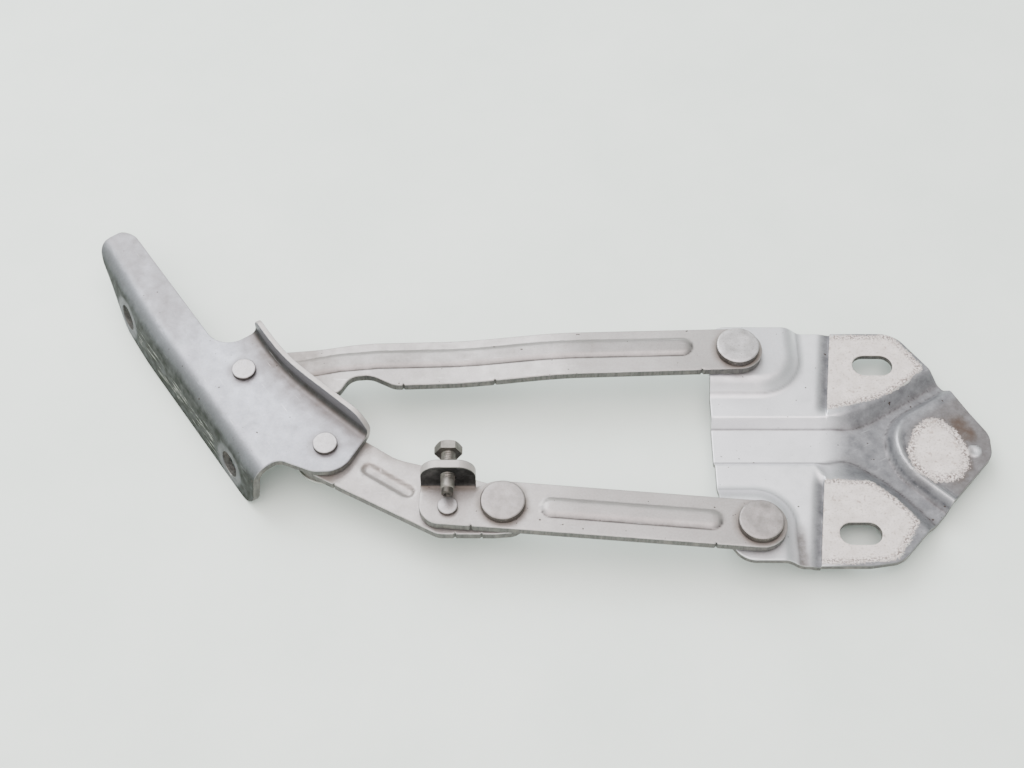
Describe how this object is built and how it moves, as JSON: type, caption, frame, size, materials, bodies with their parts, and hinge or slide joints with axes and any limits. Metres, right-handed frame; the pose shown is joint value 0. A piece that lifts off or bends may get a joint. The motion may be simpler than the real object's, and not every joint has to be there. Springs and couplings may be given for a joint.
{
  "type": "bonnet hinge",
  "caption": "Four-bar car bonnet hinge of pressed steel: body bracket with slotted pads, long link, cranked upper link with a shear-riveted knee, bonnet bracket and adjuster bolt.",
  "frame": {"origin": "centre of the upper slot on the mounting face of the upper pad", "axes": "+X along the slots away from the links, +Y from the lower to the upper slot side, +Z along the pivots out of the pads"},
  "size_m": [0.3908, 0.1652, 0.0405],
  "materials": {
    "painted_bracket": "satin silver-grey body paint, worn bare on the pads",
    "painted_link": "satin silver-grey body paint with dark sheared edges",
    "painted_bonnet": "satin silver-grey body paint, scuffed at the flange",
    "rivet_steel": "paint over formed steel heads, rubbed at the rims",
    "bush_bronze": "plain bronze-faced bush",
    "washer_steel": "zinc-plated steel, dulled",
    "bolt_steel": "dull grey plated bolt"
  },
  "bodies": {
    "body": {"body_bracket": "painted_bracket", "long_link_rivet": "rivet_steel", "rear_link_rivet": "rivet_steel", "long_link_washer": "washer_steel", "rear_link_washer": "washer_steel"},
    "long_link": {"long_link": "painted_link", "long_link_bush": "bush_bronze", "upper_bonnet_bush": "bush_bronze"},
    "upper_link": {"rear_link": "painted_link", "front_link": "painted_link", "knee_rivet": "rivet_steel", "shear_rivet": "rivet_steel", "rear_link_bush": "bush_bronze", "knee_bush": "bush_bronze", "knee_washer": "washer_steel"},
    "bonnet_bracket": {"bonnet_bracket": "painted_bonnet", "upper_bonnet_rivet": "rivet_steel", "lower_bonnet_rivet": "rivet_steel", "upper_bonnet_washer": "washer_steel", "lower_bonnet_washer": "washer_steel", "lower_bonnet_bush": "bush_bronze"},
    "adjuster": {"adjuster_bolt": "bolt_steel"}
  },
  "joints": [
    {"name": "long_link_pivot", "type": "hinge", "parent": "body", "child": "long_link", "pos_m": [-0.0595, 0.0015, 0], "axis": [0, 0, 1], "range_deg": [-6.9, 13.8]},
    {"name": "upper_link_pivot", "type": "hinge", "parent": "body", "child": "upper_link", "pos_m": [-0.0565, -0.0845, 0], "axis": [0, 0, 1], "range_deg": [-10, 20]},
    {"name": "bonnet_pivot", "type": "hinge", "parent": "long_link", "child": "bonnet_bracket", "pos_m": [-0.27021, -0.00954, 0], "axis": [0, 0, 1], "range_deg": [-32.2, 16.2]},
    {"name": "adjuster_slide", "type": "slide", "parent": "upper_link", "child": "adjuster", "axis": [0, 1, 0], "range_m": [-0.006, 0.006]}
  ],
  "couplings": [
    {"joint": "upper_link_pivot", "follows": "long_link_pivot", "ratio": 1.441},
    {"joint": "bonnet_pivot", "follows": "long_link_pivot", "ratio": -2.318}
  ]
}
